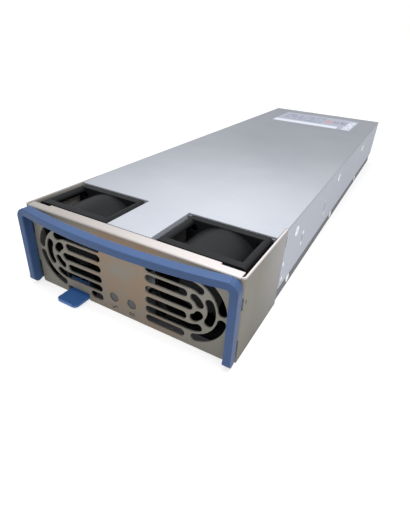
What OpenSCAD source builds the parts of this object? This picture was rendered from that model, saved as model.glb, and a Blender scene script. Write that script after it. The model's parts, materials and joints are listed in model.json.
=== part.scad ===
// Hot-swap rack power supply module, one rack unit high, with two fans behind a
// slotted face, a fold-down bail handle and a sprung latch under the left fan.
// Origin: middle of the front face's lower edge. +X right seen from the front,
// +Y into the rack, +Z up. Millimetres.

/* [Case] */
// Overall width of the case
case_w = 110; // [106:1:124]
// Overall height of the case
case_h = 41; // [41:0.5:43]
// Length from the front face to the rear panel
case_l = 345; // [335:1:380]
// Thickness of the steel sheet
sheet = 0.8; // [0.7:0.1:1]
// Outer radius of the bends of the front bezel
bend_r = 1.6; // [1.2:0.1:2]
// Outer radius of the face's rolled upper edge
roll_r = 1.1; // [1.1:0.1:1.5]
// Length of the bezel's side returns
return_l = 46; // [42:0.5:50]
// Gap between neighbouring sheets
seam = 0.35; // [0.2:0.05:0.5]
// Height of the cover's side flanges above the floor
flange_z = 8.2; // [7:0.1:10]
// Overlap of the tray's walls behind the bezel's returns
lap = 10; // [8:0.5:12]

/* [Face] */
// Width of the grille's slots
slot_w = 3.85; // [3.4:0.05:3.95]
// Distance of the grille's first ring from its middle row
ring_in = 5.5; // [5.3:0.05:5.8]
// Distance between the grille's outer rings
ring_pitch = 4.8; // [4.7:0.05:4.95]
// Height of the grille's middle row
grille_z = 20; // [19.6:0.1:20.5]
// Bare edge beside the grille
grille_edge = 5; // [4.6:0.1:6]
// Half width of the plain field between the grilles
field_w = 12; // [11:0.5:13]
// Metal left between the slots of one ring
web = 1.4; // [1.2:0.1:1.8]
// Depth of the top fold over the fans
fold_d = 5.2; // [4.6:0.1:5.4]
// Depth of the top fold near the corners
fold_corner_d = 4; // [3.4:0.1:4.4]
// Length of the shallower part of the fold at each corner
fold_corner_w = 11.5; // [8:0.5:14]
// Radius of the indicator holes
led_r = 2.35; // [2.1:0.05:2.5]
// Height of the indicators
led_z = 8.2; // [7.4:0.1:9]
// Distance of the left indicator from the middle
led_left_x = 5.4; // [5:0.1:6.5]
// Distance of the right indicator from the middle
led_right_x = 4.4; // [4:0.1:6.5]

/* [Bail handle] */
// Width of the handle's section, seen from the front
bail_t = 3.4; // [3.2:0.1:3.8]
// Depth of the handle's section
bail_d = 4.8; // [4.6:0.1:5.4]
// Radius on the section's edges
bail_edge = 0.5; // [0.3:0.1:0.9]
// Gap between the closed handle and the face
bail_gap = 0.3; // [0.3:0.1:0.6]
// Depth of the handle's top edge below the top of the case
bail_drop = 0.1; // [0:0.1:1]
// How far the middle of the bar stands forward
bail_bow = 4.5; // [3.5:0.1:5]
// Inside radius of the handle's corners
bail_inner_r = 1.4; // [1:0.1:2]
// Radius of the pivot pins
pivot_r = 0.8; // [0.7:0.1:0.9]
// Height of the pivots
pivot_z = 3.7; // [3.5:0.1:4.2]
// Thickness of the ears round their pivot bores
ear_ring = 0.9; // [0.8:0.1:1]
// Running clearance of the pivot pins in their ears
pivot_play = 0.05; // [0.03:0.01:0.08]
// Gap on each side of an ear in the fork of the foot
fork_gap = 0.15; // [0.1:0.05:0.25]
// Height of the catch nib on each leg
nib_z = 28; // [26:0.5:30]

/* [Latch] */
// Width of the release tab
tab_w = 12.2; // [11:0.1:14]
// Distance of the tab's middle from the middle of the case
tab_x = 27.5; // [26:0.5:29]
// Length of the tab in front of the face
tab_l = 8.6; // [7:0.1:9.5]
// Thickness of the tab
tab_t = 1.2; // [1:0.1:1.4]
// Lift of the latch from rest
latch_lift = 2; // [1.6:0.1:2.2]
// Drop of the latch bolt below the floor when it is free
latch_drop = 1.5; // [1:0.1:2]
// Sliding clearance of the latch in its guide
latch_play = 0.2; // [0.15:0.05:0.25]

/* [Fans] */
// Side of the square fan frames
fan_w = 40; // [38:1:40]
// Length of a fan
fan_l = 28; // [26:1:28]
// Distance from the face to the fans
fan_y = 6.3; // [6.1:0.1:6.6]
// Gap between a fan and the side of the case
fan_gap = 1.55; // [1:0.05:2]
// Thickness of the fan frame's flanges
fan_flange = 3.6; // [3:0.1:4.5]
// Pitch of the fan's screw holes
fan_hole_pitch = 32; // [31:0.5:32.5]
// Radius of the fan's bore
fan_bore_r = 18.7; // [18:0.1:18.8]
// Radius of the impeller's hub
hub_r = 10.2; // [9:0.1:11]
// Number of impeller blades
blades = 7; // [5:1:9]
// Gap between the blade tips and the bore
tip_gap = 0.6; // [0.4:0.1:0.9]
// Radius of the fan shaft
shaft_r = 1; // [0.8:0.1:1.2]
// Running clearance of the shaft in its bearings
shaft_play = 0.05; // [0.03:0.01:0.08]

/* [Inside] */
// Height of the circuit board above the floor
board_lift = 3.5; // [3:0.1:4.5]
// Thickness of the circuit board
board_t = 1.6; // [1.2:0.1:2]
// Radius of the bulk capacitors
bulk_r = 15; // [13:0.5:15.5]
// Length of the bulk capacitors
bulk_l = 50; // [45:1:52]
// Length of the connector behind the rear panel
plug_out = 6; // [4:0.5:8]
// Width of the rear connector
plug_w = 64; // [56:1:70]
// Height of the rear connector
plug_h = 14; // [12:0.5:16]

/* [Hidden] */
$fn = 48;
eps = 0.05;
half_w = case_w / 2;
wall_x = half_w - sheet;
tray_x = wall_x - sheet;
roof_z = case_h - sheet;

// grille
rings = [ring_in, ring_in + ring_pitch, ring_in + 2 * ring_pitch];
row_out = rings[2] + slot_w / 2;
arc_x = half_w - grille_edge - row_out;
cap_r = slot_w / 2;
// the punch that ends a curved slot is a hair wider than the slot
punch_r = cap_r + 0.01;

// fans
fan_x = wall_x - fan_gap - fan_w / 2;
fan_z = sheet + fan_w / 2;
fan_back = fan_y + fan_l;
fan_in_x = fan_x - fan_w / 2;
barrel_r = fan_w / 2 - 0.4;
blade_r = fan_bore_r - tip_gap;
stator_l = 13;
motor_y = fan_back - 3;
hub_front = fan_y + 3.2;
bearing_r = 2.6;
bearing_l = 3;
tube_r = 3.4;
cup_wall = 1.1;
air_gap = 0.5;
lead_r = 1.1;
bracket_y = fan_back;
window_back = fan_back + 1;

// cover
tongue_w = fan_in_x - 1.4;
tongue_y = fold_d + seam + 0.1;
lip_h = 4;
screw_ys = [64, 160, 256];
screw_z = 32.5;
rivet_z = 5.2;
screw_r = 1.5;
head_r = 2.7;
head_h = sheet;
seat_gap = 0.05;
seat_over = 0.1;
seat_r = head_r + seat_gap + seat_over * (head_r - screw_r) / head_h;

// bail handle
bail_out = half_w;
bail_in = bail_out - bail_t;
bail_back = -bail_gap;
bail_front = bail_back - bail_d;
bail_mid = (bail_back + bail_front) / 2;
bail_top = case_h - bail_drop;
bail_corner = bail_inner_r + bail_t / 2;
pivot_y = bail_mid;
bar_end = bail_out - bail_t / 2 - bail_corner;
bar_r = (bar_end * bar_end + bail_bow * bail_bow) / (2 * bail_bow);
bar_sweep = asin(bar_end / bar_r);
ear_t = sheet;
ear_x = bail_in + (bail_t - ear_t) / 2;
ear_r = pivot_r + ear_ring;
fork_r = ear_r + 0.2;
pin_cover = 0.6;
joggle_y = 4;
notch_x = bail_in - 0.4;
notch_d = 1.2;
notch_h = 12;
nib_h = 2.5;
nib_t = 1.2;
nib_l = 4;
catch_low = nib_z - 1.3;
catch_high = nib_z + nib_h + 1.7;

// latch
latch_y = sheet + 0.9;
latch_t = 1.4;
latch_h = 7.4;
tab_low = 0.3;
tab_gate = tab_low + tab_t + latch_lift + latch_play;
gate_w = tab_w + 1.2;
bolt_w = tab_w - 3;
bolt_low = 0.1;
stop_z = 4.6;
stop_h = 1.2;
guide_t = 0.8;
guide_in = tab_w / 2 + latch_play;
guide_y = latch_y + latch_t + latch_play;
guide_h = 12.2;
spring_r = 0.7;
wire_r = 0.15;
spring_turns = 4;
stub_r = 0.45;
spring_y = latch_y + latch_t / 2;
lip_top = 2.6;

// board and what stands on it
board_z = sheet + board_lift;
board_top = board_z + board_t;
board_front = fan_back + 10.7;
board_back = case_l - sheet - 9;
board_w = tray_x - 2.4;
rail_front = board_front + 6;
rail_back = board_back - 4;
rear_y = case_l - sheet;
lane_x = board_w - 17;
seat = 0.1;
bulk_y = board_front + 10;
power_y = bulk_y + bulk_l + 8;
switch_y = power_y + 52;
output_y = switch_y + 62;
filter_y = board_back - 44;
plug_y = rear_y - 14;

// ---- helpers -------------------------------------------------------------

// Repeats its children on both sides of the middle
module both_sides() {
    for (s = [0, 1]) mirror([s, 0, 0]) children();
}

// A box between two corners
module span(low, high) {
    translate(low) cube(high - low);
}

// A flat rectangle with round corners, centred
module round_rect(w, d, r) {
    square([w - 2 * r, d], center = true);
    square([w, d - 2 * r], center = true);
    for (x = [-1, 1], y = [-1, 1])
        translate([x * (w / 2 - r), y * (d / 2 - r)]) circle(r, $fn = 32);
}

// Stands a flat outline drawn in X and Z up, from y0 back to y1
module upright(y0, y1) {
    translate([0, y1, 0]) rotate([90, 0, 0]) linear_extrude(y1 - y0) children();
}

// A round bar along X
module bar_x(x0, x1, y, z, r) {
    translate([x0, y, z]) rotate([0, 90, 0]) cylinder(r = r, h = x1 - x0);
}

// A round bar along Y
module bar_y(y0, y1, x, z, r) {
    translate([x, y0, z]) rotate([-90, 0, 0]) cylinder(r = r, h = y1 - y0);
}

// ---- grille --------------------------------------------------------------

// A straight slot of the grille, at one height
module row_slot(x0, x1, z) {
    translate([x0 + cap_r, z - cap_r]) square([x1 - x0 - slot_w, slot_w]);
    for (x = [x0 + cap_r, x1 - cap_r]) translate([x, z]) circle(cap_r, $fn = 24);
}

// A curved slot of the grille about the arc's centre; angles are at its round ends
module arc_slot(r, a0, a1) {
    cap_a = asin(cap_r / r);
    b0 = a0 + cap_a;
    b1 = a1 - cap_a;
    reach = 2 * r + slot_w;
    mid = (b0 + b1) / 2;
    translate([arc_x, grille_z]) {
        intersection() {
            difference() {
                circle(r + cap_r, $fn = 64);
                circle(r - cap_r, $fn = 64);
            }
            polygon([[0, 0], reach * [cos(b0), sin(b0)], reach * [cos(mid), sin(mid)],
                reach * [cos(b1), sin(b1)]]);
        }
        for (a = [b0, b1]) translate(r * [cos(a), sin(a)]) circle(punch_r, $fn = 24);
    }
}

// Half the width of a web, as an angle on a ring
function web_a(r) = asin(web / 2 / r);

// The slots of one grille above its middle row
module grille_upper() {
    row_slot(field_w, arc_x - web / 2, grille_z + rings[0]);
    arc_slot(rings[0], web_a(rings[0]), 90 - web_a(rings[0]));
    row_slot(field_w, arc_x + cap_r, grille_z + rings[1]);
    arc_slot(rings[1], 52, 90 + web_a(rings[1]));
    arc_slot(rings[2], web_a(rings[2]), 84);
}

// A whole grille: the middle row and the rings round it
module grille() {
    row_slot(field_w, arc_x + cap_r, grille_z);
    arc_slot(rings[1], -38, 38);
    for (s = [0, 1])
        translate([0, grille_z]) mirror([0, s]) translate([0, -grille_z]) grille_upper();
    row_slot(field_w, arc_x - web, grille_z + rings[2]);
}

// ---- case ----------------------------------------------------------------

// Face, side returns and top fold before anything is cut
module bezel_blank() {
    span([-half_w + bend_r, 0, 0], [half_w - bend_r, sheet, case_h - roll_r]);
    both_sides() {
        span([wall_x, bend_r, 0], [half_w, return_l, case_h]);
        translate([half_w - bend_r, bend_r, 0]) intersection() {
            difference() {
                cylinder(r = bend_r, h = case_h);
                translate([0, 0, -1]) cylinder(r = bend_r - sheet, h = case_h + 2);
            }
            span([0, -bend_r, -1], [bend_r, 0, case_h + 1]);
        }
    }
    top_fold();
}

// The rolled upper edge and the fold over the fans, deeper in the middle
module top_fold() {
    end_x = half_w - bend_r - 0.1;
    corner_x = half_w - fold_corner_w;
    translate([-end_x, roll_r, case_h - roll_r]) rotate([0, 90, 0]) intersection() {
        difference() {
            cylinder(r = roll_r, h = 2 * end_x);
            translate([0, 0, -1]) cylinder(r = roll_r - sheet, h = 2 * end_x + 2);
        }
        span([-roll_r, -roll_r, -1], [0, 0, 2 * end_x + 1]);
    }
    span([-end_x, roll_r, roof_z], [end_x, fold_corner_d, case_h]);
    span([-corner_x, roll_r, roof_z], [corner_x, fold_d, case_h]);
}

// Openings at a lower corner of the bezel for the handle's foot and ear
module corner_notch() {
    span([notch_x, -1, -1], [half_w + 1, notch_d, notch_h]);
    span([bail_in - 0.1, -1, catch_low], [half_w + 1, notch_d, catch_high]);
    span([wall_x - 1, notch_d + 1.9, nib_z], [half_w + 1, notch_d + 2.9, nib_z + nib_h - 0.5]);
}

module front_bezel() {
    color("#b9b2a6") {
        difference() {
            bezel_blank();
            upright(-1, sheet + 1) {
                grille();
                mirror([1, 0]) grille();
                row_slot(field_w, arc_x - web, grille_z - rings[2]);
                mirror([1, 0]) row_slot(field_w, tab_x - gate_w / 2 - web, grille_z - rings[2]);
                translate([-led_left_x, led_z]) circle(led_r);
                translate([led_right_x, led_z]) circle(led_r);
                translate([-tab_x - gate_w / 2, -1]) square([gate_w, tab_gate + 1]);
            }
            both_sides() corner_notch();
        }
        both_sides() pivot_ear();
    }
}

// The ear that carries one pivot of the handle, joggled inwards from the side return
module pivot_ear() {
    low = pivot_z - ear_r;
    high = pivot_z + ear_r;
    difference() {
        union() {
            bar_x(ear_x, ear_x + ear_t, pivot_y, pivot_z, ear_r);
            span([ear_x, pivot_y, low], [ear_x + ear_t, joggle_y, high]);
            span([ear_x, joggle_y - sheet, low], [wall_x + eps, joggle_y, high]);
        }
        bar_x(ear_x - 1, ear_x + ear_t + 1, pivot_y, pivot_z, pivot_r + pivot_play);
    }
}

module chassis_tray() {
    wall_front = return_l - lap;
    color("#a9abb0") difference() {
        union() {
            span([-wall_x, sheet, 0], [wall_x, rear_y, sheet]);
            both_sides() span([tray_x, wall_front, 0], [wall_x, rear_y, roof_z]);
            span([-notch_x + 2, sheet, 0], [notch_x - 2, 2 * sheet, lip_top]);
        }
        span([-tab_x - gate_w / 2, 0, -1], [-tab_x + gate_w / 2, 2 * sheet + eps, lip_top + 1]);
        span([-tab_x - guide_in, 0, -1], [-tab_x + guide_in, guide_y, sheet + 1]);
        both_sides() {
            span([notch_x - 1, 0, -1], [half_w, notch_d + 0.6, sheet + 1]);
            for (y = screw_ys) bar_x(tray_x - 1, wall_x + 1, y, screw_z, screw_r + seat_gap);
            for (y = screw_ys) bar_x(tray_x - 1, wall_x + 1, y, rivet_z, screw_r + seat_gap);
        }
    }
}

module top_cover() {
    color("#c9c9cf") difference() {
        union() {
            span([-wall_x + seam / 2, window_back, roof_z], [wall_x - seam / 2, return_l + seam, case_h]);
            span([-half_w, return_l + seam, roof_z], [half_w, case_l, case_h]);
            span([-tongue_w, tongue_y, roof_z], [tongue_w, window_back + 1, case_h]);
            both_sides() {
                span([wall_x, return_l + seam, flange_z], [half_w, case_l, case_h]);
                span([tongue_w - sheet, tongue_y, case_h - lip_h], [tongue_w, bracket_y - 0.2, case_h]);
            }
        }
        both_sides() {
            for (y = screw_ys) countersink(y);
            // stamped marks and the relief slot at the flange's front edge
            span([wall_x - 1, return_l, 31.5], [half_w + 1, return_l + seam + 1.1, 36.7]);
            for (p = [[78, 22], [127, 22], [case_l - 31, 24]]) side_stamp(p[0], p[1]);
        }
        for (x = rear_tab_xs) span([x - 2 - seam, rear_y - 1, roof_z - 1], [x + 2 + seam, case_l + 1, case_h + 1]);
    }
}

// A shallow stamped pocket on a side flange, 8 tall
module side_stamp(y, z) {
    depth = sheet / 2;
    span([half_w - depth, y - 1, z - 3], [half_w + 1, y + 1, z + 3]);
    for (e = [-3, 3]) bar_x(half_w - depth, half_w + 1, y, z + e, 1);
}

// The conical seat of a cover screw in a side flange
module countersink(y) {
    translate([half_w + seat_over, y, screw_z]) rotate([0, -90, 0])
        cylinder(r1 = seat_r, r2 = screw_r + seat_gap, h = head_h + seat_over);
    bar_x(wall_x - 1, half_w, y, screw_z, screw_r + seat_gap);
}

rear_tab_xs = [-16, 12];

module rear_panel() {
    slot_z = board_top + plug_h + 2.5;
    color("#a9abb0") difference() {
        union() {
            span([-wall_x, rear_y, 0], [wall_x, case_l, roof_z]);
            for (x = rear_tab_xs) span([x - 2, rear_y, roof_z - eps], [x + 2, case_l, case_h]);
        }
        span([-plug_w / 2 - 0.2, rear_y - 1, board_top - 0.2],
            [plug_w / 2 + 0.2, case_l + 1, board_top + plug_h + 0.2]);
        upright(rear_y - 1, case_l + 1) {
            for (x = [-wall_x + 6 : 5 : wall_x - 6])
                vent_slot(x, slot_z, roof_z - 4);
            for (s = [-1, 1], x = [plug_w / 2 + 5 : 5 : wall_x - 5])
                vent_slot(s * x, board_top + 1, slot_z - 5);
        }
    }
}

// An upright exhaust slot, 3 wide
module vent_slot(x, z0, z1) {
    translate([x - 1.5, z0 + 1.5]) square([3, z1 - z0 - 3]);
    for (z = [z0 + 1.5, z1 - 1.5]) translate([x, z]) circle(1.5, $fn = 24);
}

module cover_screws() {
    color("#9a9ca2") both_sides() for (y = screw_ys) difference() {
        union() {
            translate([half_w, y, screw_z]) rotate([0, -90, 0])
                cylinder(r1 = head_r, r2 = screw_r, h = head_h);
            bar_x(tray_x - 2, half_w - head_h, y, screw_z, screw_r);
        }
        span([half_w - 0.5, y - 1.5, screw_z - 0.3], [half_w + 1, y + 1.5, screw_z + 0.3]);
        span([half_w - 0.5, y - 0.3, screw_z - 1.5], [half_w + 1, y + 0.3, screw_z + 1.5]);
    }
}

module tray_rivets() {
    color("#9a9ca2") both_sides() for (y = screw_ys) {
        bar_x(wall_x, wall_x + 0.5, y, rivet_z, screw_r + 0.9);
        bar_x(tray_x - sheet, wall_x + eps, y, rivet_z, screw_r);
    }
}

// ---- bail handle ---------------------------------------------------------

// The handle's section, drawn with its width along X and its depth along Y
module bail_section() {
    round_rect(bail_t, bail_d, bail_edge);
}

// The bar across the top, bowed forward in the middle
module bail_bar() {
    z = bail_top - bail_t / 2;
    translate([0, bail_mid - bail_bow + bar_r, z]) rotate([0, 0, -90 - bar_sweep - 0.2])
        rotate_extrude(angle = 2 * bar_sweep + 0.4, $fn = 360)
            translate([bar_r, 0]) rotate(90) bail_section();
}

// One leg with its corner, its forked round foot and its catch nib
module bail_leg() {
    x = bail_out - bail_t / 2;
    corner_z = bail_top - bail_t / 2 - bail_corner;
    translate([x, bail_mid, pivot_z]) linear_extrude(corner_z - pivot_z) bail_section();
    translate([bar_end, bail_mid, corner_z]) rotate([90, 0, 0])
        rotate_extrude(angle = 90) translate([bail_corner, 0]) bail_section();
    bar_x(bail_in, bail_out, pivot_y, pivot_z, bail_d / 2);
    span([ear_x, bail_back - 1, nib_z], [ear_x + nib_t, nib_l, nib_z + nib_h]);
}

module bail_handle() {
    color("#5b7fb8") {
        difference() {
            union() {
                bail_bar();
                both_sides() bail_leg();
            }
            both_sides() {
                // the fork is open to the back and below, where the ear passes
                span([ear_x - fork_gap, pivot_y - fork_r, -1], [ear_x + ear_t + fork_gap, 0, pivot_z + fork_r]);
                bar_x(bail_in + pin_cover, bail_out - pin_cover, pivot_y, pivot_z, pivot_r);
            }
        }
    }
}

module bail_pivot_pins() {
    color("#8d9096") both_sides()
        bar_x(bail_in + pin_cover, bail_out - pin_cover, pivot_y, pivot_z, pivot_r);
}

// ---- latch ---------------------------------------------------------------

module latch_slide() {
    color("#3a62a8") translate([-tab_x, 0, 0]) {
        difference() {
            span([-tab_w / 2, -tab_l, tab_low], [tab_w / 2, latch_y + latch_t, tab_low + tab_t]);
            for (s = [-1, 1]) translate([s * (tab_w / 2 - 2), 2 - tab_l, -1]) difference() {
                translate([s > 0 ? 0 : -3, -3, 0]) cube([3, 3, 4]);
                translate([0, 0, -1]) cylinder(r = 2, h = 6);
            }
        }
        // rim round the tab for the finger
        span([-tab_w / 2 + 2, -tab_l, tab_low], [tab_w / 2 - 2, 0.9 - tab_l, tab_low + tab_t + 0.4]);
        span([-tab_w / 2, latch_y, tab_low], [tab_w / 2, latch_y + latch_t, latch_h]);
        span([-guide_in - guide_t, latch_y, stop_z], [guide_in + guide_t, latch_y + latch_t, stop_z + stop_h]);
        bolt();
        translate([0, spring_y, latch_h - eps]) cylinder(r = stub_r, h = 1.2);
    }
}

// The bolt below the slide, sloped on the side that meets the shelf first
module bolt() {
    translate([-bolt_w / 2, 0, 0]) rotate([90, 0, 90]) linear_extrude(bolt_w)
        polygon([[latch_y, bolt_low], [latch_y + latch_t / 2, bolt_low],
            [latch_y + latch_t, tab_low + 0.5], [latch_y, tab_low + 0.5]]);
}

module latch_guide() {
    back = guide_y + guide_t;
    color("#26272a") translate([-tab_x, 0, 0]) difference() {
        union() {
            span([-guide_in - guide_t, sheet, guide_h - guide_t], [guide_in + guide_t, back, guide_h]);
            span([-guide_in - guide_t, guide_y, sheet], [guide_in + guide_t, back, guide_h]);
            for (s = [0, 1]) mirror([s, 0, 0]) {
                span([guide_in, 2 * sheet, sheet], [guide_in + guide_t, back, guide_h]);
                span([guide_in, sheet, lip_top + 0.4], [guide_in + guide_t, back, guide_h]);
            }
            translate([0, spring_y, guide_h - guide_t - 0.8]) cylinder(r = stub_r, h = 1);
        }
        // windows for the slide's shoulders, which stop it at both ends of its travel
        for (s = [0, 1]) mirror([s, 0, 0])
            span([guide_in - 1, latch_y - latch_play, stop_z - latch_drop - 0.1],
                [guide_in + guide_t + 1, guide_y + eps, stop_z + stop_h + latch_lift + 0.1]);
    }
}

// A helical compression spring, swept round its axis
module latch_spring() {
    low = latch_h + wire_r;
    high = guide_h - guide_t - wire_r;
    steps = 16 * spring_turns;
    sides = 6;
    function ring_point(i, j) = let (
        a = i * 360 * spring_turns / steps,
        b = j * 360 / sides,
        r = spring_r + wire_r * cos(b))
        [r * cos(a), r * sin(a), low + (high - low) * i / steps + wire_r * sin(b)];
    points = [for (i = [0 : steps], j = [0 : sides - 1]) ring_point(i, j)];
    tube = [for (i = [0 : steps - 1], j = [0 : sides - 1]) let (k = (j + 1) % sides)
        [i * sides + j, (i + 1) * sides + j, (i + 1) * sides + k, i * sides + k]];
    ends = [[for (j = [0 : sides - 1]) j], [for (j = [sides - 1 : -1 : 0]) steps * sides + j]];
    color("#c4c6ca") translate([-tab_x, spring_y, 0]) polyhedron(points, concat(tube, ends));
}

// ---- fans, drawn about the fan's axis with Y from the case's front -------

// Puts a fan's piece on the left or right of the case
module at_fan(s) {
    translate([s * fan_x, 0, fan_z]) children();
}

module fan_frame() {
    h = fan_w / 2;
    color("#1b1c1f") difference() {
        union() {
            for (y = [fan_y, fan_back - fan_flange])
                upright(y, y + fan_flange) round_rect(fan_w, fan_w, 2);
            bar_y(fan_y, fan_back, 0, 0, barrel_r);
            for (x = [-1, 1], z = [-1, 1])
                upright(fan_y, fan_back) translate([x * (h - 2), z * (h - 2)]) circle(2);
        }
        bar_y(fan_y - 1, motor_y, 0, 0, fan_bore_r);
        difference() {
            bar_y(motor_y - eps, fan_back + 1, 0, 0, fan_bore_r);
            motor_mount();
        }
        bar_y(motor_y - eps, fan_back + 1, 0, 0, bearing_r);
        for (x = [-1, 1], z = [-1, 1])
            bar_y(fan_y - 1, fan_back + 1, x * fan_hole_pitch / 2, z * fan_hole_pitch / 2, 1.75);
    }
    // bearing tube
    color("#1b1c1f") difference() {
        bar_y(motor_y - stator_l - 1, motor_y + 1, 0, 0, tube_r);
        bar_y(motor_y - stator_l - 2, fan_back + 1, 0, 0, bearing_r);
    }
}

// The disc and the four struts that hold the motor at the back of the fan
module motor_mount() {
    bar_y(motor_y, fan_back, 0, 0, hub_r);
    for (a = [45 : 90 : 315]) rotate([0, a, 0])
        span([0, motor_y, -1], [fan_bore_r + 1, fan_back, 1]);
}

module fan_stator() {
    outer = hub_r - cup_wall - air_gap;
    teeth = 4;
    color("#7a4a2a") difference() {
        union() {
            bar_y(motor_y - stator_l, motor_y, 0, 0, tube_r + 1.5);
            for (a = [0 : 360 / teeth : 359]) rotate([0, a, 0]) {
                span([0, motor_y - stator_l + 2, -1.6], [outer - 1, motor_y - 2, 1.6]);
                intersection() {
                    bar_y(motor_y - stator_l + 1.5, motor_y - 1.5, 0, 0, outer);
                    span([outer - 1.4, motor_y - stator_l, -outer * 0.6], [outer + 1, motor_y, outer * 0.6]);
                }
            }
        }
        bar_y(motor_y - stator_l - 1, motor_y + 1, 0, 0, tube_r + seat_gap);
    }
}

module fan_bearings() {
    color("#b8b8b8") for (y = [motor_y - stator_l - 1, motor_y + 3 - bearing_l]) difference() {
        bar_y(y, y + bearing_l, 0, 0, bearing_r);
        bar_y(y - 1, y + bearing_l + 1, 0, 0, shaft_r + shaft_play);
    }
}

module fan_impeller() {
    back = motor_y - 0.6;
    color("#141518") {
        difference() {
            bar_y(hub_front, back, 0, 0, hub_r);
            bar_y(hub_front + 1.6, back + 1, 0, 0, hub_r - cup_wall);
            bar_y(hub_front - 1, back, 0, 0, shaft_r);
        }
        blade_ring(hub_front + 1, back - 2);
    }
}

// Helical blades between the hub and the tips, leaning the way the fan turns
module blade_ring(y0, y1) {
    translate([0, y0, 0]) rotate([-90, 0, 0])
        linear_extrude(y1 - y0, twist = -52, slices = 8)
            for (a = [0 : 360 / blades : 359]) rotate(a)
                polygon([[hub_r - 0.5, -0.55], [(hub_r + blade_r) / 2, -0.1], [blade_r, -0.3],
                    [blade_r, 0.3], [(hub_r + blade_r) / 2, 0.9], [hub_r - 0.5, 0.55]]);
}

module fan_shaft() {
    color("#c4c6ca") bar_y(hub_front, motor_y + 2.4, 0, 0, shaft_r);
}

module fan_bracket() {
    slot_x = fan_in_x - 0.4;
    color("#a9abb0") difference() {
        union() {
            span([-tray_x, bracket_y, sheet], [tray_x, bracket_y + sheet, roof_z]);
            span([-tray_x + 2, bracket_y, sheet], [tray_x - 2, bracket_y + 7, 2 * sheet]);
            both_sides() span([tray_x - sheet, bracket_y, 2 * sheet + 1],
                [tray_x, bracket_y + 8, roof_z]);
        }
        for (s = [-1, 1]) at_fan(s) {
            bar_y(bracket_y - 1, bracket_y + sheet + 0.1, 0, 0, fan_bore_r);
            for (x = [-1, 1], z = [-1, 1]) bar_y(bracket_y - 1, bracket_y + sheet + 1,
                x * fan_hole_pitch / 2, z * fan_hole_pitch / 2, 1.6);
        }
        span([-slot_x, bracket_y - 1, 2 * sheet + 2], [slot_x, bracket_y + sheet + 1, board_top + 8]);
    }
}

module fan_screws() {
    color("#9a9ca2") for (s = [-1, 1]) at_fan(s) for (x = [-1, 1], z = [-1, 1]) {
        px = x * fan_hole_pitch / 2;
        pz = z * fan_hole_pitch / 2;
        bar_y(bracket_y + sheet, bracket_y + sheet + 1.6, px, pz, 2.6);
        bar_y(fan_back - fan_flange + 0.4, bracket_y + sheet + eps, px, pz, 1.5);
    }
}

// The wires of one fan, from its frame to a plug on the board
module fan_lead(s) {
    run_x = fan_in_x - 2;
    wire_y = fan_back - 5;
    wire_z = board_top + 3.2;
    head_y = board_front + 3;
    color("#2b2b2e") mirror([s > 0 ? 0 : 1, 0, 0]) {
        bar_x(run_x, fan_in_x, wire_y, wire_z, lead_r);
        translate([run_x, wire_y, wire_z]) sphere(lead_r + 0.1, $fn = 24);
        bar_y(wire_y, head_y + eps, run_x, wire_z, lead_r);
        span([run_x - 3.5, head_y, board_top], [run_x + 3.5, head_y + 6, board_top + 5.6]);
    }
}

// ---- indicators ----------------------------------------------------------

led_y = sheet + 3;
led_board_low = led_z - 5.5;
led_board_high = led_z + 9;
led_board_w = 9.5;

module led_board() {
    color("#1f5a3a") difference() {
        span([-led_board_w, led_y, led_board_low], [led_board_w, led_y + 1, led_board_high]);
        for (z = [led_z + 6]) bar_y(led_y - 1, led_y + 2, 0, z, 1);
    }
}

module led_spacers() {
    color("#b8b8b8") {
        bar_y(sheet, led_y, 0, led_z + 6, 2);
        bar_y(led_y - eps, led_y + 1.6, 0, led_z + 6, 0.95);
    }
}

// One light: a flange on the board and a round lens in the face
module led_light(x, tint) {
    color(tint) {
        bar_y(sheet + 0.3, led_y, x, led_z, led_r + 0.3);
        bar_y(0.25, led_y, x, led_z, led_r - 0.15);
    }
}

module led_ribbon() {
    color("#9aa0a8") {
        span([-4, led_y + 1, board_top + 2], [4, board_front + 3, board_top + 2.8]);
        span([-5, board_front + 3, board_top], [5, board_front + 7, board_top + 4.6]);
    }
}

// ---- board and power parts -----------------------------------------------

module insulator_sheet() {
    color("#d8d8d0") span([-board_w + 4, bracket_y + 8, sheet], [board_w - 4, board_back, sheet + 0.3]);
}

module board_rail() {
    color("#a9abb0") difference() {
        union() {
            span([tray_x - sheet, rail_front, sheet], [tray_x, rail_back, board_top + 4]);
            span([board_w - 2, rail_front, board_z - sheet], [tray_x, rail_back, board_z]);
        }
        for (y = screw_ys) bar_x(tray_x - 2, tray_x + 1, y, rivet_z, screw_r + seat_gap);
    }
}

module board_spacers() {
    color("#b8b8b8") for (x = [-30, 0, 30], y = [board_front + 5, power_y - 4, output_y - 4])
        translate([x, y, sheet + 0.3]) cylinder(r = 2.5, h = board_z - sheet - 0.3);
}

module main_board() {
    color("#1f5a3a")
        span([-board_w, board_front, board_z], [board_w, board_back, board_top]);
}

module bulk_capacitors() {
    color("#23262c") for (x = [-lane_x, 0, lane_x])
        bar_y(bulk_y, bulk_y + bulk_l, x, board_top + bulk_r + seat, bulk_r);
}

module pfc_inductor() {
    outer = 15.5;
    color("#a8652e") difference() {
        bar_y(power_y + 4, power_y + 22, -lane_x, board_top + outer + seat, outer);
        bar_y(power_y + 3, power_y + 23, -lane_x, board_top + outer + seat, 6.5);
    }
}

transformer_x = 10;
core_w = 42;
core_l = 40;
core_h = 30;

module transformer_core() {
    y = power_y;
    color("#3a3a3e") translate([transformer_x, y, board_top]) difference() {
        span([-core_w / 2, 0, 0], [core_w / 2, core_l, core_h]);
        for (s = [-1, 1])
            span([s > 0 ? 6.2 : -15.2, -1, 5], [s > 0 ? 15.2 : -6.2, core_l + 1, core_h - 5]);
    }
}

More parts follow.
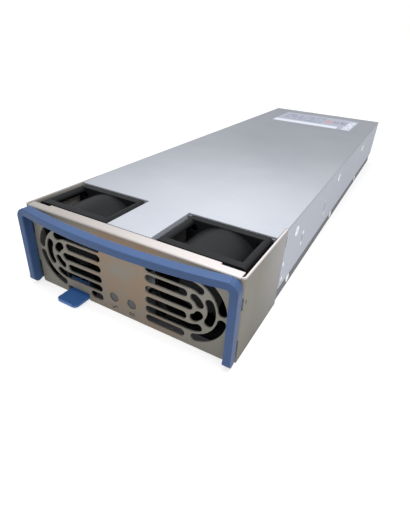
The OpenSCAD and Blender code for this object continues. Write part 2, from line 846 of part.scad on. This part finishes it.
module transformer_winding() {
    y = power_y;
    color("#c79a3a") translate([transformer_x, y, board_top]) difference() {
        span([-14.8, -5, 5.4], [14.8, core_l + 5, core_h - 5.4]);
        span([-6.4, -0.2, 4], [6.4, core_l + 0.2, core_h - 4]);
    }
}

module resonant_inductor() {
    color("#3a3a3e") span([lane_x + 2, power_y + 2, board_top], [board_w - 2, power_y + 36, board_top + 22]);
}

// A finned bar: a wall along Y with fins towards one side
module heatsink(x, y0, y1, height, reach, side) {
    pitch = 6;
    span([x - 1.5, y0, board_top], [x + 1.5, y1, board_top + height]);
    for (z = [board_top + 4 : pitch : board_top + height - 2])
        span([side > 0 ? x : x - reach, y0, z], [side > 0 ? x + reach : x, y1, z + 1.4]);
}

sink_x = 22;
sink_h = 28;

module switch_heatsink() {
    color("#b4b7bc") heatsink(-sink_x, switch_y, switch_y + 54, sink_h, 12, -1);
}

module rectifier_heatsink() {
    color("#b4b7bc") heatsink(sink_x, switch_y, switch_y + 54, sink_h, 12, 1);
}

// Flat power transistors standing against a heatsink
module transistors(x, side) {
    color("#1d1d20") for (i = [0 : 2]) {
        y = switch_y + 2 + i * 18;
        span([side > 0 ? x : x - 5, y, board_top + 4], [side > 0 ? x + 5 : x, y + 15, board_top + 24]);
        for (k = [-1, 0, 1]) span([side > 0 ? x + 1.9 : x - 3.1, y + 6.9 + k * 5, board_top],
            [side > 0 ? x + 3.1 : x - 1.9, y + 8.1 + k * 5, board_top + 4 + eps]);
    }
}

module output_inductor() {
    outer = 12;
    color("#a8652e") difference() {
        translate([0, switch_y + 27, board_top]) cylinder(r = outer, h = 16);
        translate([0, switch_y + 27, board_top - 1]) cylinder(r = 5, h = 18);
    }
}

module output_capacitors() {
    color("#2c3a5a") for (i = [0 : 3], j = [0, 1])
        translate([lane_x + 5 - i * 13, output_y + 4 + j * 13, board_top]) cylinder(r = 5, h = 20);
}

module output_bus_bars() {
    color("#c07a3e") for (x = [8, 20]) {
        span([x, output_y + 24, board_top], [x + 8, plug_y, board_top + 2]);
        span([x, output_y + 24, board_top], [x + 8, output_y + 26, board_top + 10]);
    }
}

module bridge_rectifier() {
    color("#1d1d20") span([-sink_x - 12, output_y + 2, board_top], [-sink_x + 12, output_y + 8, board_top + 22]);
}

module filter_choke() {
    outer = 13;
    color("#a8652e") difference() {
        translate([-lane_x, filter_y + 14, board_top]) cylinder(r = outer, h = 18);
        translate([-lane_x, filter_y + 14, board_top - 1]) cylinder(r = 6, h = 20);
    }
}

module filter_capacitors() {
    color("#c9b458") for (i = [0, 1]) {
        x = -lane_x + 17 + i * 11;
        span([x, filter_y, board_top], [x + 8, filter_y + 26, board_top + 16]);
    }
}

module input_fuse() {
    color("#e4e0d4") {
        bar_y(filter_y - 20, filter_y - 2, -board_w + 8, board_top + 4.1, 3);
        for (y = [filter_y - 20, filter_y - 5])
            span([-board_w + 4.5, y, board_top], [-board_w + 11.5, y + 3, board_top + 7.5]);
    }
}

module control_card() {
    color("#1f5a3a") span([board_w - 5, output_y, board_top], [board_w - 3.4, output_y + 46, board_top + 24]);
}

// ---- rear connector ------------------------------------------------------

blade_n = 6;
blade_pitch = 6.5;
blade_gap = 2;
pin_n = 6;

module rear_connector() {
    color("#202124") difference() {
        span([-plug_w / 2, plug_y, board_top], [plug_w / 2, case_l + plug_out, board_top + plug_h]);
        for (i = [0 : blade_n - 1])
            span([-plug_w / 2 + 4 + i * blade_pitch, rear_y - 8, board_top + 2.5],
                [-plug_w / 2 + 4 + i * blade_pitch + blade_gap, case_l + plug_out + 1,
                    board_top + plug_h - 2.5]);
        for (i = [0 : pin_n - 1], j = [0 : 2])
            span([plug_w / 2 - 18 + i * 2.5, rear_y - 4, board_top + 3 + j * 3],
                [plug_w / 2 - 17 + i * 2.5, case_l + plug_out + 1, board_top + 4 + j * 3]);
    }
}

module connector_contacts() {
    color("#c9a24a") for (i = [0 : blade_n - 1], s = [0, 1])
        span([-plug_w / 2 + 4.1 + i * blade_pitch + s * 1.4, rear_y - 8, board_top + 3],
            [-plug_w / 2 + 4.5 + i * blade_pitch + s * 1.4, case_l + plug_out - 2, board_top + plug_h - 3]);
}

front_bezel();
chassis_tray();
top_cover();
rear_panel();
cover_screws();
tray_rivets();
bail_handle();
bail_pivot_pins();
latch_slide();
latch_guide();
latch_spring();
at_fan(-1) fan_frame();  // fan_frame_left
at_fan(1) fan_frame();  // fan_frame_right
at_fan(-1) fan_stator();  // fan_stator_left
at_fan(1) fan_stator();  // fan_stator_right
at_fan(-1) fan_bearings();  // fan_bearings_left
at_fan(1) fan_bearings();  // fan_bearings_right
at_fan(-1) fan_impeller();  // fan_impeller_left
at_fan(1) fan_impeller();  // fan_impeller_right
at_fan(-1) fan_shaft();  // fan_shaft_left
at_fan(1) fan_shaft();  // fan_shaft_right
fan_bracket();
fan_screws();
fan_lead(-1);  // fan_lead_left
fan_lead(1);  // fan_lead_right
led_board();
led_spacers();
led_light(-led_left_x, "#4a4c4e");  // led_input
led_light(led_right_x, "#4a4c4e");  // led_output
led_ribbon();
insulator_sheet();
mirror([1, 0, 0]) board_rail();  // board_rail_left
board_rail();  // board_rail_right
board_spacers();
main_board();
bulk_capacitors();
pfc_inductor();
transformer_core();
transformer_winding();
resonant_inductor();
switch_heatsink();
transistors(-sink_x + 1.5, 1);  // switch_transistors
rectifier_heatsink();
transistors(sink_x - 1.5, -1);  // rectifier_transistors
output_inductor();
output_capacitors();
output_bus_bars();
bridge_rectifier();
filter_choke();
filter_capacitors();
input_fuse();
control_card();
rear_connector();
connector_contacts();
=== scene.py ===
"""Looks of the rack power supply module: finishes, print, camera and light.

Lengths are in metres, and in millimetres where a comment says so. The CAD solids are shown as
they are. Only their materials, the floor, the light and the camera are made here.
"""

import json
import math

import bpy
from mathutils import Matrix, Vector


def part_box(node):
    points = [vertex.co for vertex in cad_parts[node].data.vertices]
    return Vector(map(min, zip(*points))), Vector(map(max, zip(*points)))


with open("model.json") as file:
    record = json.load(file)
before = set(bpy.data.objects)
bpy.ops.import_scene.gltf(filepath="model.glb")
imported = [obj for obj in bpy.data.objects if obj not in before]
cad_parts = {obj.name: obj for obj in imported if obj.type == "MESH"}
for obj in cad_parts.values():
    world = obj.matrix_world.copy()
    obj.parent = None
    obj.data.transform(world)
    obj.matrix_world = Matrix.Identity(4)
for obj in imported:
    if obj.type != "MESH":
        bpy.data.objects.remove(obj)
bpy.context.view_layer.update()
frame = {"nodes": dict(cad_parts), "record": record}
MM = 0.001


# ---- node helpers ---------------------------------------------------------


class Graph:
    """A material's node tree, with short calls for the nodes used here."""

    def __init__(self, name, metallic=0.0, roughness=0.5, **sockets):
        self.material = bpy.data.materials.new(name)
        self.material.use_nodes = True
        self.tree = self.material.node_tree
        self.tree.nodes.clear()
        self.shader = self.add("ShaderNodeBsdfPrincipled")
        out = self.add("ShaderNodeOutputMaterial")
        self.link(self.shader.outputs[0], out.inputs[0])
        self.shader.inputs["Metallic"].default_value = metallic
        self.shader.inputs["Roughness"].default_value = roughness
        for socket, value in sockets.items():
            self.shader.inputs[socket.replace("_", " ")].default_value = value
        self.place = self.add("ShaderNodeTexCoord").outputs["Object"]

    def add(self, kind, **settings):
        node = self.tree.nodes.new(kind)
        for key, value in settings.items():
            setattr(node, key, value)
        return node

    def link(self, a, b):
        self.tree.links.new(a, b)

    def feed(self, socket, value):
        """Links an output to a socket, or sets a plain number or colour on it."""
        if isinstance(value, bpy.types.NodeSocket):
            self.link(value, socket)
        else:
            socket.default_value = value

    def paint(self, colour):
        self.link(colour, self.shader.inputs["Base Color"])

    def gloss(self, value):
        self.link(value, self.shader.inputs["Roughness"])

    def scaled(self, x, y, z):
        """The object's own coordinates, stretched along each axis."""
        node = self.add("ShaderNodeMapping")
        self.link(self.place, node.inputs["Vector"])
        node.inputs["Scale"].default_value = (x, y, z)
        return node.outputs[0]

    def axis(self, name):
        """The place along X, Y or Z."""
        node = self.add("ShaderNodeSeparateXYZ")
        self.link(self.place, node.inputs[0])
        return node.outputs[name]

    def noise(self, scale, detail=3.0, stretch=(1, 1, 1)):
        node = self.add("ShaderNodeTexNoise")
        self.link(self.scaled(*stretch), node.inputs["Vector"])
        node.inputs["Scale"].default_value = scale
        node.inputs["Detail"].default_value = detail
        node.inputs["Roughness"].default_value = 0.55
        return node.outputs["Fac"]

    def stripes(self, scale):
        """Even bands along Y, between 0 and 1."""
        node = self.add("ShaderNodeTexWave", bands_direction="Y")
        self.link(self.place, node.inputs["Vector"])
        node.inputs["Scale"].default_value = scale
        return node.outputs["Fac"]

    def ramp(self, value, low, high, out_low=0.0, out_high=1.0):
        """The value carried from one range to another, and held at its ends."""
        node = self.add("ShaderNodeMapRange")
        self.link(value, node.inputs["Value"])
        ends = {"From Min": low, "From Max": high, "To Min": out_low, "To Max": out_high}
        for key, number in ends.items():
            node.inputs[key].default_value = number
        return node.outputs[0]

    def math(self, operation, a, b=0.0):
        node = self.add("ShaderNodeMath", operation=operation)
        self.feed(node.inputs[0], a)
        self.feed(node.inputs[1], b)
        return node.outputs[0]

    def times(self, *values):
        """The product of several masks."""
        product = values[0]
        for value in values[1:]:
            product = self.math("MULTIPLY", product, value)
        return product

    def either(self, *masks):
        """The strongest of several masks."""
        top = masks[0]
        for mask in masks[1:]:
            top = self.math("MAXIMUM", top, mask)
        return top

    def mix(self, factor, a, b):
        node = self.add("ShaderNodeMix", data_type="RGBA")
        self.feed(node.inputs["Factor"], factor)
        self.feed(node.inputs[6], a)
        self.feed(node.inputs[7], b)
        return node.outputs[2]

    def window(self, name, low, high, soft=0.0002):
        """1 between two places along an axis, and 0 outside."""
        along = self.axis(name)
        rise = self.ramp(along, low - soft, low + soft)
        fall = self.ramp(along, high - soft, high + soft, 1.0, 0.0)
        return self.times(rise, fall)

    def patch(self, x0, x1, y0, y1, soft):
        """1 inside a rectangle seen from above, and 0 outside."""
        return self.times(self.window("X", x0, x1, soft), self.window("Y", y0, y1, soft))

    def spot(self, y, z):
        """1 in a small upright oval on a flank, in millimetres, fading to 0 round it."""
        across = self.math("DIVIDE", self.math("SUBTRACT", self.axis("Y"), y * MM), SPOT_Y * MM)
        upright = self.math("DIVIDE", self.math("SUBTRACT", self.axis("Z"), z * MM), SPOT_Z * MM)
        reach = self.math("ADD", self.times(across, across), self.times(upright, upright))
        return self.ramp(reach, 0.4, 1.4, 1.0, 0.0)

    def bump(self, height, strength, distance, edge=0.0):
        """Relief from a height, over edges rounded by a radius where one is given."""
        node = self.add("ShaderNodeBump")
        self.link(height, node.inputs["Height"])
        node.inputs["Strength"].default_value = strength
        node.inputs["Distance"].default_value = distance
        if edge:
            bevel = self.add("ShaderNodeBevel", samples=6)
            bevel.inputs["Radius"].default_value = edge
            self.link(bevel.outputs[0], node.inputs["Normal"])
        self.link(node.outputs[0], self.shader.inputs["Normal"])


def rgb(r, g, b):
    return (r, g, b, 1.0)


def shade(colour, share):
    """A darker tone of a colour."""
    return tuple(c * share for c in colour[:3]) + (1.0,)


# ---- sheet metal ----------------------------------------------------------

# the rounding of folded sheet and of moulded edges, by shading alone
SHEET_EDGE = 0.0005
MOULD_EDGE = 0.0004

# painted glints, near-white highlights on the cover's flanges: their half sizes and their places
# along Y and Z, in mm
SPOT_Y, SPOT_Z = 0.7, 1.3
PAINTED_GLINTS = (
    (48.6, 21.5),
    (50.0, 12.6),
    (78.6, 19.0),
    (79.4, 25.2),
    (128.4, 17.8),
    (127.2, 25.2),
    (314.0, 27.0),
)

# the label on the cover in mm: its sides from the middle, and its ends from the cover's rear edge
LABEL_X = (-37, 38)
LABEL_BACK = (69, 17)
# what is printed on it, as x0, x1, y0, y1 in mm from its front left corner
LABEL_STRIP = (0, 62, 0, 11)
LABEL_ROWS = (4, 44, 15, 46)
LABEL_MARK = (45, 53, 22, 38)
LABEL_WORDS = (54, 67, 24, 36)
LABEL_END = (67, 74, 0, 44)

# the supply signs under the indicators
SIGN_DROP = 0.0028
SIGN_HALF = 0.0016
SIGN_WAVE = 0.0006
SIGN_DASH_HALF = 0.0004
SIGN_DASH_PITCH = 0.0011

# where the fans' screws and shafts lie along Y; there they are painted near black as painted
# shade
FANS_Y = (0.0, 0.045)


def sheet_steel(name, dark, light, metallic=0.2, roughness=0.5, grain=(1, 1, 1)):
    """Galvanised sheet: soft clouds, fine rolling grain and rounded bends.

    Gives the graph and its colour, so that a part can paint over it.
    """
    g = Graph(name, metallic=metallic, roughness=roughness, Specular_IOR_Level=0.0)
    clouds = g.noise(14, 3)
    streaks = g.noise(900, 2, stretch=grain)
    tone = g.math("ADD", g.times(clouds, 0.8), g.times(streaks, 0.2))
    colour = g.mix(g.ramp(tone, 0.3, 0.7), dark, light)
    g.paint(colour)
    g.gloss(g.ramp(clouds, 0.3, 0.7, roughness - 0.07, roughness + 0.07))
    g.bump(streaks, 0.12, 0.0001, edge=SHEET_EDGE)
    return g, colour


def case_steel():
    return sheet_steel("case_steel", rgb(0.145, 0.145, 0.158), rgb(0.19, 0.19, 0.205))[0].material


def cover_steel():
    """The cover: flanks painted paler as painted light, with painted glints on them, and a
    printed label on top.
    """
    g, colour = sheet_steel(
        "cover_steel", rgb(0.315, 0.335, 0.375), rgb(0.375, 0.39, 0.425), grain=(0.15, 1, 1)
    )
    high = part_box("top_cover")[1]
    # painted light: the flanks are painted paler and bluer than the top, as the sides are lit
    flank = g.window("Z", -1, high[2] - 0.0012)
    colour = g.mix(g.times(flank, 0.35), colour, rgb(0.50, 0.52, 0.60))
    # painted glints: near-white highlights painted on the flanks, below the top bend
    glints = g.either(*(g.spot(y, z) for y, z in PAINTED_GLINTS))
    below_bend = g.window("Z", -1, high[2] - 0.002)
    colour = g.mix(g.times(glints, below_bend), colour, rgb(0.95, 0.96, 1.0))
    label, print_colour = cover_label(g, high[1], colour)
    on_top = g.window("Z", high[2] - 0.0001, high[2] + 0.01, 0.00005)
    g.paint(g.mix(g.times(label, on_top), colour, print_colour))
    g.link(g.ramp(label, 0, 1, 0.2, 0.0), g.shader.inputs["Metallic"])
    return g.material


def cover_label(g, rear, under):
    """The mask and the colours of the label: a pale strip in front and print behind it."""
    left, right = (v * MM for v in LABEL_X)
    front, back = (rear - v * MM for v in LABEL_BACK)

    def area(box, soft=0.0005):
        x0, x1, y0, y1 = (v * MM for v in box)
        return g.patch(left + x0, left + x1, front + y0, front + y1, soft)

    pale = rgb(0.78, 0.82, 0.92)
    colour = g.mix(0.5, under, rgb(0.62, 0.66, 0.80))
    colour = g.mix(area(LABEL_STRIP, 0.0002), colour, pale)
    words = g.ramp(g.noise(420, 2, stretch=(1, 0.2, 1)), 0.42, 0.5)
    rows = g.times(g.ramp(g.stripes(55), 0.4, 0.6), words)
    colour = g.mix(g.times(area(LABEL_ROWS), rows), colour, rgb(0.30, 0.33, 0.42))
    colour = g.mix(g.times(area(LABEL_MARK, 0.001), 0.6), colour, rgb(0.62, 0.36, 0.40))
    colour = g.mix(g.times(area(LABEL_WORDS), rows), colour, rgb(0.16, 0.17, 0.21))
    colour = g.mix(g.times(area(LABEL_END), g.ramp(words, 0, 1, 0.3, 0.9)), colour, pale)
    return g.patch(left, right, front, back, 0.0004), colour


def bezel_steel():
    """The bezel: browner in the middle of its face, with a painted highlight on its top fold,
    painted shade low down and painted light paler towards the rear.
    """
    g, colour = sheet_steel(
        "bezel_steel", rgb(0.20, 0.19, 0.165), rgb(0.255, 0.245, 0.22), grain=(1, 0.2, 0.2)
    )
    face = g.window("Y", -0.001, 0.0003)
    middle = g.window("X", -0.022, 0.024, 0.012)
    warm = g.times(face, middle, g.ramp(g.noise(60, 2), 0.3, 0.7))
    colour = g.mix(warm, colour, rgb(0.27, 0.18, 0.115))
    # painted light: the sides are painted paler towards the rear
    rear = g.ramp(g.axis("Y"), 0.015, 0.045)
    colour = g.mix(g.times(rear, 0.4), colour, rgb(0.46, 0.46, 0.48))
    # painted highlight: the top fold is painted paler, more so towards the right, as it is lit
    top = g.window("Z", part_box("front_bezel")[1][2] - 0.0006, 1, 0.0003)
    to_right = g.ramp(g.axis("X"), -0.03, 0.05)
    top_highlight = g.mix(to_right, rgb(0.33, 0.31, 0.295), rgb(0.47, 0.44, 0.44))
    colour = g.mix(top, colour, top_highlight)
    # painted shade: the face is painted darker towards the bottom
    low = g.ramp(g.axis("Z"), 0.0, 0.03, 0.35, 0.0)
    colour = g.mix(low, colour, rgb(0.09, 0.085, 0.075))
    signs = g.either(*(supply_sign(g, *sign) for sign in sign_places()))
    g.paint(g.mix(g.times(face, signs), colour, rgb(0.03, 0.028, 0.025)))
    return g.material


def sign_places():
    """Each sign's kind, True for alternating supply, and its middle in X and Z."""
    for node in ("led_input", "led_output"):
        low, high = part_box(node)
        yield node == "led_input", (low[0] + high[0]) / 2, low[2] - SIGN_DROP


def supply_sign(g, alternating, x, z):
    """A wave for alternating supply, or a full line over a broken one for direct."""
    across = g.window("X", x - SIGN_HALF, x + SIGN_HALF, 0.0001)
    if alternating:
        phase = g.times(g.math("SUBTRACT", g.axis("X"), x), math.pi / SIGN_HALF)
        wave = g.times(g.math("SINE", phase), SIGN_WAVE)
        off = g.math("ABSOLUTE", g.math("SUBTRACT", g.math("SUBTRACT", g.axis("Z"), z), wave))
        return g.times(across, g.ramp(off, 0.0002, 0.0004, 1.0, 0.0))
    line = g.window("Z", z + 0.0002, z + 0.0007, 0.0001)
    middles = [x + step * SIGN_DASH_PITCH for step in (-1, 0, 1)]
    dashes = g.either(
        *(g.window("X", m - SIGN_DASH_HALF, m + SIGN_DASH_HALF, 0.0001) for m in middles)
    )
    broken = g.times(g.window("Z", z - 0.0008, z - 0.0003, 0.0001), dashes)
    return g.times(across, g.either(line, broken))


def screw_steel():
    """Bright screws and rivets outside, and those among the fans painted near black as painted
    shade.
    """
    g, colour = sheet_steel(
        "screw_steel", rgb(0.62, 0.63, 0.66), rgb(0.85, 0.85, 0.88), metallic=0.95, roughness=0.25
    )
    half_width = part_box("top_cover")[1][0] - 0.0015
    fans = g.times(g.window("Y", *FANS_Y), g.window("X", -half_width, half_width))
    # painted shade: screws and shafts among the fans are painted near black, as they sit in shade
    # inside
    g.paint(g.mix(fans, colour, rgb(0.01, 0.01, 0.012)))
    return g.material


# ---- other materials ------------------------------------------------------


def moulded(name, colour, roughness, depth=0.15, **sockets):
    """Moulded or painted surface: an even tone with faint clouds and a fine skin."""
    g = Graph(name, roughness=roughness, **sockets)
    clouds = g.noise(40, 3)
    g.paint(g.mix(g.ramp(clouds, 0.3, 0.7), shade(colour, 0.82), colour))
    g.gloss(g.ramp(clouds, 0.3, 0.7, roughness - 0.05, roughness + 0.05))
    g.bump(g.noise(2500, 2), depth, 0.0002, edge=MOULD_EDGE)
    return g.material


def metal(name, colour, roughness):
    """Bare metal with faint clouds."""
    g = Graph(name, metallic=1.0, roughness=roughness)
    g.paint(g.mix(g.ramp(g.noise(60, 3), 0.3, 0.7), shade(colour, 0.8), colour))
    g.bump(g.noise(1200, 2), 0.1, 0.0001)
    return g.material


def wound_wire():
    """Enamelled copper turns, seen as fine ribs."""
    g = Graph("winding_copper", metallic=0.7, roughness=0.35)
    ribs = g.stripes(260)
    g.paint(g.mix(ribs, rgb(0.16, 0.06, 0.03), rgb(0.55, 0.26, 0.11)))
    g.bump(ribs, 0.5, 0.0003)
    return g.material


def board_green():
    """Solder mask with lighter tracks under it."""
    g = Graph("board_green", roughness=0.4)
    tracks = g.noise(220, 4)
    g.paint(g.mix(g.ramp(tracks, 0.45, 0.5), rgb(0.02, 0.10, 0.05), rgb(0.04, 0.18, 0.09)))
    g.bump(tracks, 0.1, 0.0001)
    return g.material


# slots with a maker of their own, then moulded ones, then bare metals
MADE = {
    "bezel_steel": bezel_steel,
    "case_steel": case_steel,
    "cover_steel": cover_steel,
    "screw_steel": screw_steel,
    "board_green": board_green,
    "winding_copper": wound_wire,
}
MOULDED = {
    "handle_blue": dict(colour=rgb(0.036, 0.076, 0.18), roughness=0.5, Specular_IOR_Level=0.25),
    "tab_blue": dict(colour=rgb(0.042, 0.125, 0.34), roughness=0.4, Specular_IOR_Level=0.3),
    "black_plastic": dict(
        colour=rgb(0.006, 0.0065, 0.008), roughness=0.55, Specular_IOR_Level=0.15
    ),
    "lens_grey": dict(colour=rgb(0.035, 0.038, 0.04), roughness=0.25, depth=0.05),
    "ribbon_grey": dict(colour=rgb(0.4, 0.41, 0.43), roughness=0.6),
    "insulator_film": dict(colour=rgb(0.7, 0.7, 0.62), roughness=0.35),
    "sleeve_black": dict(colour=rgb(0.03, 0.035, 0.05), roughness=0.3),
    "ferrite_grey": dict(colour=rgb(0.07, 0.07, 0.075), roughness=0.6),
    "tape_yellow": dict(colour=rgb(0.65, 0.42, 0.08), roughness=0.4),
    "fuse_white": dict(colour=rgb(0.75, 0.73, 0.67), roughness=0.4),
}
METALS = {
    "sink_aluminium": dict(colour=rgb(0.72, 0.73, 0.75), roughness=0.35),
    "bar_copper": dict(colour=rgb(0.7, 0.38, 0.22), roughness=0.3),
    "contact_brass": dict(colour=rgb(0.8, 0.6, 0.28), roughness=0.25),
}


def dress():
    """Gives each CAD node the finish of its slot in the record."""
    made = {slot: build() for slot, build in MADE.items()}
    made.update((slot, moulded(slot, **look)) for slot, look in MOULDED.items())
    made.update((slot, metal(slot, **look)) for slot, look in METALS.items())
    for part in frame["record"]["subparts"]:
        node = frame["nodes"][part["node"]]
        for slot in node.material_slots:
            slot.material = made[part["material_slot"]]


# ---- camera, floor and light -----------------------------------------------

# the photograph's camera, fitted to the case's corners: azimuth, elevation and roll in degrees,
# the point it looks at and its distance from it in mm, and its lens and sensor in mm
VIEW_TURN = (27.269, 30.543, 3.616)
VIEW_TARGET = (-42.653, 158.109, -58.919)
VIEW_DISTANCE = 337.624
LENS, SENSOR = 26.67, 36

FLOOR_HALF = 60.0
FLOOR_DROP = 0.0003

# the softbox over the near right corner: its place, side and power in watts
KEY_PLACE = (0.04, 0.02, 0.16)
KEY_SIZE = 0.1
KEY_POWER = 0.23


def aim(azimuth, elevation, roll):
    """A turn that looks at the object from an azimuth and an elevation, and the way back."""
    a, e, r = (math.radians(v) for v in (azimuth, elevation, roll))
    back = Vector((math.sin(a) * math.cos(e), -math.cos(a) * math.cos(e), math.sin(e)))
    side = Vector((math.cos(a), math.sin(a), 0))
    top = back.cross(side)
    right = math.cos(r) * side + math.sin(r) * top
    upward = math.cos(r) * top - math.sin(r) * side
    return Matrix((right, upward, back)).transposed(), back


def camera():
    """A short lens close to the module's front right corner, a little above it."""
    turn, back = aim(*VIEW_TURN)
    data = bpy.data.cameras.new("camera")
    data.lens = LENS
    data.sensor_width = SENSOR
    data.clip_start = 0.01
    obj = bpy.data.objects.new("camera", data)
    place = Vector(VIEW_TARGET) * MM + back * VIEW_DISTANCE * MM
    obj.matrix_world = Matrix.Translation(place) @ turn.to_4x4()
    bpy.context.scene.collection.objects.link(obj)
    bpy.context.scene.camera = obj


def floor():
    """A pale floor that runs to the horizon and fades into the white behind it."""
    mesh = bpy.data.meshes.new("floor")
    sides = ((-1, -1), (1, -1), (1, 1), (-1, 1))
    mesh.from_pydata([(x * FLOOR_HALF, y * FLOOR_HALF, 0) for x, y in sides], [], [(0, 1, 2, 3)])
    g = Graph("floor_white", roughness=0.9, Specular_IOR_Level=0.0, Emission_Strength=0.6)
    g.shader.inputs["Emission Color"].default_value = rgb(1, 1, 1)
    g.paint(g.mix(g.noise(3, 2), rgb(0.50, 0.50, 0.50), rgb(0.54, 0.54, 0.54)))
    mesh.materials.append(g.material)
    obj = bpy.data.objects.new("floor", mesh)
    obj.location.z = -FLOOR_DROP
    bpy.context.scene.collection.objects.link(obj)


def light():
    """White surroundings, and one square softbox that faces down over the front."""
    world = bpy.data.worlds.new("studio")
    world.use_nodes = True
    background = world.node_tree.nodes["Background"]
    background.inputs[0].default_value = rgb(1, 1, 1)
    background.inputs[1].default_value = 1.0
    bpy.context.scene.world = world
    key = bpy.data.lights.new("key", "AREA")
    key.size = KEY_SIZE
    key.energy = KEY_POWER
    obj = bpy.data.objects.new("key", key)
    obj.location = KEY_PLACE
    bpy.context.scene.collection.objects.link(obj)
    bpy.context.scene.view_settings.view_transform = "Standard"


dress()
floor()
light()
camera()
